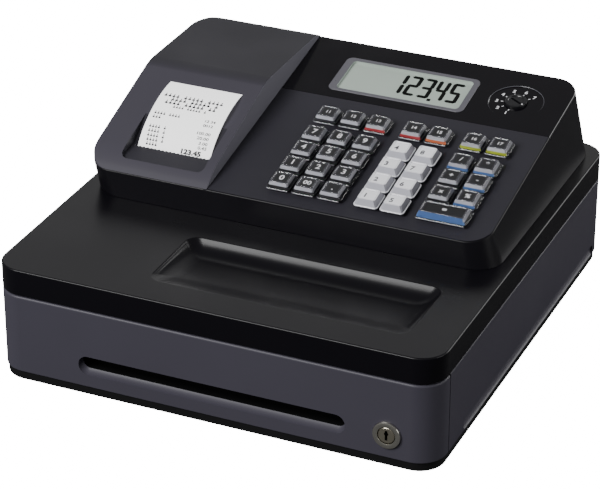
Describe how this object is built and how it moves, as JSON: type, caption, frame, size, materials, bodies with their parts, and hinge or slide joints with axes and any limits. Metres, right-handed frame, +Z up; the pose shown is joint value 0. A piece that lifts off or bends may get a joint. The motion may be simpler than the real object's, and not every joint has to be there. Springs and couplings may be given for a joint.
{
  "type": "electronic cash register",
  "caption": "Compact electronic cash register with a sloping keyboard and display, receipt printer under a tilting cover, and a sliding cash drawer below.",
  "frame": {"origin": "middle of the bounding box footprint, on the level of the soles of the rubber feet", "axes": "+X to the right seen from the front, -Y to the front where the drawer opens, +Z up"},
  "size_m": [0.326, 0.347, 0.1484],
  "materials": {
    "pan": "plain black moulding",
    "rubber": "dull moulded rubber",
    "body": "dark slate grey, fine moulded grain",
    "cover": "black satin",
    "housing": "black satin",
    "display": "polished black",
    "module": "pale grey green display glass in a black border",
    "board": "lacquered circuit board",
    "rotor": "semi-gloss black",
    "hood": "mid slate grey, fine moulded grain",
    "mechanism": "dark moulded frame",
    "platen": "ground rubber",
    "paper": "smooth thermal paper",
    "drawer": "plain moulding",
    "insert": "plain moulding",
    "clip": "plain moulding",
    "chrome": "warm bright plating",
    "brass": "bright plating over brass",
    "key_dark": "clear cap over a black label",
    "key_white": "clear cap over a white label",
    "key_red": "clear cap, red label edge",
    "key_orange": "clear cap, orange label edge",
    "key_green": "clear cap, yellow green label edge",
    "key_blue": "clear cap, blue label edge"
  },
  "bodies": {
    "case": {"base_pan": "pan", "foot_front_left": "rubber", "foot_front_right": "rubber", "foot_rear_left": "rubber", "foot_rear_right": "rubber", "case_shell": "body", "top_cover": "cover", "upper_housing": "housing", "display_panel": "display", "display_module": "module", "circuit_board": "board", "printer_frame": "mechanism", "paper_web": "paper"},
    "drawer": {"drawer_front": "body", "drawer_tray": "drawer", "coin_insert": "insert", "lock_bezel": "chrome"},
    "printer_cover": {"printer_cover": "hood", "receipt_slip": "paper"},
    "paper_roll": {"paper_roll": "paper"},
    "platen": {"platen_roller": "platen"},
    "mode_rotor": {"mode_rotor": "rotor"},
    "lock_plug": {"lock_plug": "brass"},
    "bill_clip_1": {"bill_clip_1": "clip"},
    "bill_clip_2": {"bill_clip_2": "clip"},
    "bill_clip_3": {"bill_clip_3": "clip"},
    "number_key_0": {"number_key_0": "key_dark"},
    "number_key_00": {"number_key_00": "key_dark"},
    "number_key_point": {"number_key_point": "key_dark"},
    "number_key_1": {"number_key_1": "key_dark"},
    "number_key_2": {"number_key_2": "key_dark"},
    "number_key_3": {"number_key_3": "key_dark"},
    "number_key_4": {"number_key_4": "key_dark"},
    "number_key_5": {"number_key_5": "key_dark"},
    "number_key_6": {"number_key_6": "key_dark"},
    "number_key_7": {"number_key_7": "key_dark"},
    "number_key_8": {"number_key_8": "key_dark"},
    "number_key_9": {"number_key_9": "key_dark"},
    "department_key_1": {"department_key_1": "key_white"},
    "department_key_2": {"department_key_2": "key_white"},
    "department_key_3": {"department_key_3": "key_white"},
    "department_key_4": {"department_key_4": "key_white"},
    "department_key_5": {"department_key_5": "key_white"},
    "department_key_6": {"department_key_6": "key_white"},
    "department_key_7": {"department_key_7": "key_white"},
    "department_key_8": {"department_key_8": "key_white"},
    "function_key_1": {"function_key_1": "key_dark"},
    "function_key_2": {"function_key_2": "key_blue"},
    "function_key_3": {"function_key_3": "key_dark"},
    "function_key_4": {"function_key_4": "key_blue"},
    "function_key_5": {"function_key_5": "key_blue"},
    "function_key_6": {"function_key_6": "key_blue"},
    "total_key": {"total_key": "key_blue"},
    "upper_key_1": {"upper_key_1": "key_dark"},
    "upper_key_2": {"upper_key_2": "key_dark"},
    "upper_key_3": {"upper_key_3": "key_red"},
    "upper_key_4": {"upper_key_4": "key_red"},
    "upper_key_5": {"upper_key_5": "key_orange"},
    "upper_key_6": {"upper_key_6": "key_green"},
    "upper_key_7": {"upper_key_7": "key_green"}
  },
  "joints": [
    {"name": "drawer_slide", "type": "slide", "parent": "case", "child": "drawer", "axis": [0, -1, 0], "range_m": [0, 0.23]},
    {"name": "printer_cover_tilt", "type": "hinge", "parent": "case", "child": "printer_cover", "pos_m": [-0.1008, -0.045, 0.1074], "axis": [1, 0, 0], "range_deg": [0, 65]},
    {"name": "paper_roll_spin", "type": "hinge", "parent": "case", "child": "paper_roll", "pos_m": [-0.1008, 0.091, 0.10624], "axis": [1, 0, 0], "continuous": true},
    {"name": "platen_spin", "type": "hinge", "parent": "case", "child": "platen", "pos_m": [-0.1008, -0.00858, 0.103], "axis": [1, 0, 0], "continuous": true},
    {"name": "mode_switch_turn", "type": "hinge", "parent": "case", "child": "mode_rotor", "pos_m": [0.1093, 0.11787, 0.13788], "axis": [0, -0.184, 0.9829], "range_deg": [-90, 90]},
    {"name": "lock_turn", "type": "hinge", "parent": "drawer", "child": "lock_plug", "pos_m": [0.1283, -0.1715, 0.0263], "axis": [0, -1, 0], "range_deg": [0, 55]},
    {"name": "bill_clip_1_lift", "type": "hinge", "parent": "drawer", "child": "bill_clip_1", "pos_m": [-0.09987, 0.1403, 0.049], "axis": [-1, 0, 0], "range_deg": [0, 45], "stiffness_Nm_per_rad": 0.02, "springref_deg": -20.05},
    {"name": "bill_clip_2_lift", "type": "hinge", "parent": "drawer", "child": "bill_clip_2", "pos_m": [0, 0.1403, 0.049], "axis": [-1, 0, 0], "range_deg": [0, 45], "stiffness_Nm_per_rad": 0.02, "springref_deg": -20.05},
    {"name": "bill_clip_3_lift", "type": "hinge", "parent": "drawer", "child": "bill_clip_3", "pos_m": [0.09987, 0.1403, 0.049], "axis": [-1, 0, 0], "range_deg": [0, 45], "stiffness_Nm_per_rad": 0.02, "springref_deg": -20.05},
    {"name": "number_key_0_press", "type": "slide", "parent": "case", "child": "number_key_0", "axis": [0, 0.184, -0.9829], "range_m": [0, 0.0022], "stiffness_N_per_m": 200, "springref_m": -0.001},
    {"name": "number_key_00_press", "type": "slide", "parent": "case", "child": "number_key_00", "axis": [0, 0.184, -0.9829], "range_m": [0, 0.0022], "stiffness_N_per_m": 200, "springref_m": -0.001},
    {"name": "number_key_point_press", "type": "slide", "parent": "case", "child": "number_key_point", "axis": [0, 0.184, -0.9829], "range_m": [0, 0.0022], "stiffness_N_per_m": 200, "springref_m": -0.001},
    {"name": "number_key_1_press", "type": "slide", "parent": "case", "child": "number_key_1", "axis": [0, 0.184, -0.9829], "range_m": [0, 0.0022], "stiffness_N_per_m": 200, "springref_m": -0.001},
    {"name": "number_key_2_press", "type": "slide", "parent": "case", "child": "number_key_2", "axis": [0, 0.184, -0.9829], "range_m": [0, 0.0022], "stiffness_N_per_m": 200, "springref_m": -0.001},
    {"name": "number_key_3_press", "type": "slide", "parent": "case", "child": "number_key_3", "axis": [0, 0.184, -0.9829], "range_m": [0, 0.0022], "stiffness_N_per_m": 200, "springref_m": -0.001},
    {"name": "number_key_4_press", "type": "slide", "parent": "case", "child": "number_key_4", "axis": [0, 0.184, -0.9829], "range_m": [0, 0.0022], "stiffness_N_per_m": 200, "springref_m": -0.001},
    {"name": "number_key_5_press", "type": "slide", "parent": "case", "child": "number_key_5", "axis": [0, 0.184, -0.9829], "range_m": [0, 0.0022], "stiffness_N_per_m": 200, "springref_m": -0.001},
    {"name": "number_key_6_press", "type": "slide", "parent": "case", "child": "number_key_6", "axis": [0, 0.184, -0.9829], "range_m": [0, 0.0022], "stiffness_N_per_m": 200, "springref_m": -0.001},
    {"name": "number_key_7_press", "type": "slide", "parent": "case", "child": "number_key_7", "axis": [0, 0.184, -0.9829], "range_m": [0, 0.0022], "stiffness_N_per_m": 200, "springref_m": -0.001},
    {"name": "number_key_8_press", "type": "slide", "parent": "case", "child": "number_key_8", "axis": [0, 0.184, -0.9829], "range_m": [0, 0.0022], "stiffness_N_per_m": 200, "springref_m": -0.001},
    {"name": "number_key_9_press", "type": "slide", "parent": "case", "child": "number_key_9", "axis": [0, 0.184, -0.9829], "range_m": [0, 0.0022], "stiffness_N_per_m": 200, "springref_m": -0.001},
    {"name": "department_key_1_press", "type": "slide", "parent": "case", "child": "department_key_1", "axis": [0, 0.184, -0.9829], "range_m": [0, 0.0022], "stiffness_N_per_m": 200, "springref_m": -0.001},
    {"name": "department_key_2_press", "type": "slide", "parent": "case", "child": "department_key_2", "axis": [0, 0.184, -0.9829], "range_m": [0, 0.0022], "stiffness_N_per_m": 200, "springref_m": -0.001},
    {"name": "department_key_3_press", "type": "slide", "parent": "case", "child": "department_key_3", "axis": [0, 0.184, -0.9829], "range_m": [0, 0.0022], "stiffness_N_per_m": 200, "springref_m": -0.001},
    {"name": "department_key_4_press", "type": "slide", "parent": "case", "child": "department_key_4", "axis": [0, 0.184, -0.9829], "range_m": [0, 0.0022], "stiffness_N_per_m": 200, "springref_m": -0.001},
    {"name": "department_key_5_press", "type": "slide", "parent": "case", "child": "department_key_5", "axis": [0, 0.184, -0.9829], "range_m": [0, 0.0022], "stiffness_N_per_m": 200, "springref_m": -0.001},
    {"name": "department_key_6_press", "type": "slide", "parent": "case", "child": "department_key_6", "axis": [0, 0.184, -0.9829], "range_m": [0, 0.0022], "stiffness_N_per_m": 200, "springref_m": -0.001},
    {"name": "department_key_7_press", "type": "slide", "parent": "case", "child": "department_key_7", "axis": [0, 0.184, -0.9829], "range_m": [0, 0.0022], "stiffness_N_per_m": 200, "springref_m": -0.001},
    {"name": "department_key_8_press", "type": "slide", "parent": "case", "child": "department_key_8", "axis": [0, 0.184, -0.9829], "range_m": [0, 0.0022], "stiffness_N_per_m": 200, "springref_m": -0.001},
    {"name": "function_key_1_press", "type": "slide", "parent": "case", "child": "function_key_1", "axis": [0, 0.184, -0.9829], "range_m": [0, 0.0022], "stiffness_N_per_m": 200, "springref_m": -0.001},
    {"name": "function_key_2_press", "type": "slide", "parent": "case", "child": "function_key_2", "axis": [0, 0.184, -0.9829], "range_m": [0, 0.0022], "stiffness_N_per_m": 200, "springref_m": -0.001},
    {"name": "function_key_3_press", "type": "slide", "parent": "case", "child": "function_key_3", "axis": [0, 0.184, -0.9829], "range_m": [0, 0.0022], "stiffness_N_per_m": 200, "springref_m": -0.001},
    {"name": "function_key_4_press", "type": "slide", "parent": "case", "child": "function_key_4", "axis": [0, 0.184, -0.9829], "range_m": [0, 0.0022], "stiffness_N_per_m": 200, "springref_m": -0.001},
    {"name": "function_key_5_press", "type": "slide", "parent": "case", "child": "function_key_5", "axis": [0, 0.184, -0.9829], "range_m": [0, 0.0022], "stiffness_N_per_m": 200, "springref_m": -0.001},
    {"name": "function_key_6_press", "type": "slide", "parent": "case", "child": "function_key_6", "axis": [0, 0.184, -0.9829], "range_m": [0, 0.0022], "stiffness_N_per_m": 200, "springref_m": -0.001},
    {"name": "total_key_press", "type": "slide", "parent": "case", "child": "total_key", "axis": [0, 0.184, -0.9829], "range_m": [0, 0.0022], "stiffness_N_per_m": 200, "springref_m": -0.001},
    {"name": "upper_key_1_press", "type": "slide", "parent": "case", "child": "upper_key_1", "axis": [0, 0.184, -0.9829], "range_m": [0, 0.0022], "stiffness_N_per_m": 200, "springref_m": -0.001},
    {"name": "upper_key_2_press", "type": "slide", "parent": "case", "child": "upper_key_2", "axis": [0, 0.184, -0.9829], "range_m": [0, 0.0022], "stiffness_N_per_m": 200, "springref_m": -0.001},
    {"name": "upper_key_3_press", "type": "slide", "parent": "case", "child": "upper_key_3", "axis": [0, 0.184, -0.9829], "range_m": [0, 0.0022], "stiffness_N_per_m": 200, "springref_m": -0.001},
    {"name": "upper_key_4_press", "type": "slide", "parent": "case", "child": "upper_key_4", "axis": [0, 0.184, -0.9829], "range_m": [0, 0.0022], "stiffness_N_per_m": 200, "springref_m": -0.001},
    {"name": "upper_key_5_press", "type": "slide", "parent": "case", "child": "upper_key_5", "axis": [0, 0.184, -0.9829], "range_m": [0, 0.0022], "stiffness_N_per_m": 200, "springref_m": -0.001},
    {"name": "upper_key_6_press", "type": "slide", "parent": "case", "child": "upper_key_6", "axis": [0, 0.184, -0.9829], "range_m": [0, 0.0022], "stiffness_N_per_m": 200, "springref_m": -0.001},
    {"name": "upper_key_7_press", "type": "slide", "parent": "case", "child": "upper_key_7", "axis": [0, 0.184, -0.9829], "range_m": [0, 0.0022], "stiffness_N_per_m": 200, "springref_m": -0.001}
  ],
  "couplings": [
    {"joint": "platen_spin", "follows": "paper_roll_spin", "ratio": 4.7143}
  ]
}
